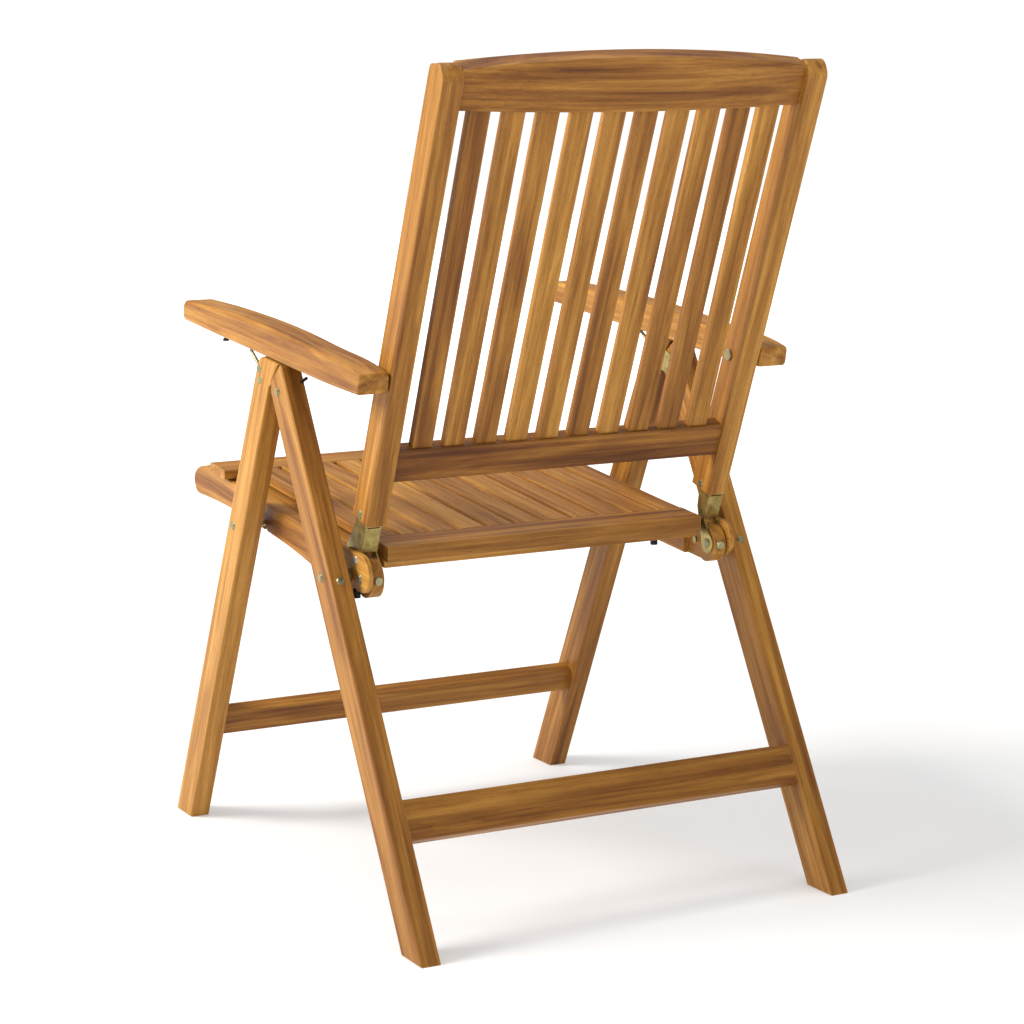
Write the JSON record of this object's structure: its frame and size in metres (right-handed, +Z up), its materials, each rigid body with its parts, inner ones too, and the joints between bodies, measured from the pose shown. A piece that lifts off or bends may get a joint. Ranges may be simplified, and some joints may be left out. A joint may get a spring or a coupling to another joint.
{
  "type": "folding chair",
  "caption": "Slatted wooden folding armchair with a reclining back, crossed leg pairs hinged at the top and armrests that follow the back.",
  "frame": {"origin": "centre of the footprint at floor level", "axes": "+Z up, front of the chair faces -Y, sitter's left is +X"},
  "size_m": [0.595, 0.8196, 1.0377],
  "materials": {
    "side_rail_left": "oiled",
    "side_rail_right": "oiled",
    "seat_front_rail": "oiled",
    "seat_rear_rail": "oiled",
    "seat_batten": "oiled",
    "seat_slat_01": "oiled",
    "seat_slat_02": "oiled",
    "seat_slat_03": "oiled",
    "seat_slat_04": "oiled",
    "seat_slat_05": "oiled",
    "seat_slat_06": "oiled",
    "seat_slat_07": "oiled",
    "seat_slat_08": "oiled",
    "seat_slat_09": "oiled",
    "seat_slat_10": "oiled",
    "seat_slat_11": "oiled",
    "cheek_plate_left": "oiled",
    "cheek_plate_right": "oiled",
    "brass_hardware": "dull yellow",
    "black_hardware": "black oxide",
    "rear_leg_left": "oiled",
    "rear_leg_right": "oiled",
    "rear_stretcher": "oiled",
    "front_leg_left": "oiled",
    "front_leg_right": "oiled",
    "front_stretcher": "oiled",
    "back_stile_left": "oiled",
    "back_stile_right": "oiled",
    "back_top_rail": "oiled",
    "back_low_rail": "oiled",
    "back_slat_01": "oiled",
    "back_slat_02": "oiled",
    "back_slat_03": "oiled",
    "back_slat_04": "oiled",
    "back_slat_05": "oiled",
    "back_slat_06": "oiled",
    "back_slat_07": "oiled",
    "back_slat_08": "oiled",
    "back_slat_09": "oiled",
    "back_slat_10": "oiled",
    "armrest_left": "oiled",
    "armrest_right": "oiled"
  },
  "bodies": {
    "seat": {"side_rail_left": "side_rail_left", "side_rail_right": "side_rail_right", "seat_front_rail": "seat_front_rail", "seat_rear_rail": "seat_rear_rail", "seat_batten": "seat_batten", "seat_slat_01": "seat_slat_01", "seat_slat_02": "seat_slat_02", "seat_slat_03": "seat_slat_03", "seat_slat_04": "seat_slat_04", "seat_slat_05": "seat_slat_05", "seat_slat_06": "seat_slat_06", "seat_slat_07": "seat_slat_07", "seat_slat_08": "seat_slat_08", "seat_slat_09": "seat_slat_09", "seat_slat_10": "seat_slat_10", "seat_slat_11": "seat_slat_11", "cheek_plate_left": "cheek_plate_left", "cheek_plate_right": "cheek_plate_right", "back_pivots": "brass_hardware", "cheek_screws": "brass_hardware", "rail_end_rivets": "brass_hardware", "rail_nuts": "black_hardware"},
    "rear_legs": {"rear_leg_left": "rear_leg_left", "rear_leg_right": "rear_leg_right", "rear_stretcher": "rear_stretcher", "seat_bolts": "brass_hardware", "rear_leg_screws": "brass_hardware", "leg_hooks": "black_hardware"},
    "front_legs": {"front_leg_left": "front_leg_left", "front_leg_right": "front_leg_right", "front_stretcher": "front_stretcher", "apex_plate_left": "brass_hardware", "apex_plate_right": "brass_hardware", "rest_pins": "brass_hardware", "apex_rivets": "brass_hardware", "apex_pivots": "brass_hardware", "catch_wires": "brass_hardware"},
    "back": {"back_stile_left": "back_stile_left", "back_stile_right": "back_stile_right", "back_top_rail": "back_top_rail", "back_low_rail": "back_low_rail", "back_slat_01": "back_slat_01", "back_slat_02": "back_slat_02", "back_slat_03": "back_slat_03", "back_slat_04": "back_slat_04", "back_slat_05": "back_slat_05", "back_slat_06": "back_slat_06", "back_slat_07": "back_slat_07", "back_slat_08": "back_slat_08", "back_slat_09": "back_slat_09", "back_slat_10": "back_slat_10", "back_bracket_left": "brass_hardware", "back_bracket_right": "brass_hardware", "stile_rivets": "brass_hardware", "arm_bolts": "brass_hardware"},
    "arm_left": {"armrest_left": "armrest_left", "arm_screw_left": "black_hardware"},
    "arm_right": {"armrest_right": "armrest_right", "arm_screw_right": "black_hardware"}
  },
  "joints": [
    {"name": "leg_fold", "type": "hinge", "parent": "seat", "child": "rear_legs", "pos_m": [0, 0.1262, 0.413], "axis": [1, 0, 0], "range_deg": [0, 48]},
    {"name": "apex_fold", "type": "hinge", "parent": "rear_legs", "child": "front_legs", "pos_m": [0, 0.0037, 0.627], "axis": [1, 0, 0], "range_deg": [0, 55.4]},
    {"name": "recline", "type": "hinge", "parent": "seat", "child": "back", "pos_m": [0, 0.1567, 0.413], "axis": [-1, 0, 0], "range_deg": [0, 72]},
    {"name": "arm_follow_left", "type": "hinge", "parent": "back", "child": "arm_left", "pos_m": [0.26, 0.2197, 0.662], "axis": [1, 0, 0], "range_deg": [0, 43.4]},
    {"name": "arm_follow_right", "type": "hinge", "parent": "back", "child": "arm_right", "pos_m": [-0.26, 0.2197, 0.662], "axis": [1, 0, 0], "range_deg": [0, 43.4]}
  ],
  "couplings": [
    {"joint": "apex_fold", "follows": "leg_fold", "ratio": 1.15},
    {"joint": "arm_follow_left", "follows": "recline", "ratio": 0.6},
    {"joint": "arm_follow_right", "follows": "recline", "ratio": 0.6}
  ]
}
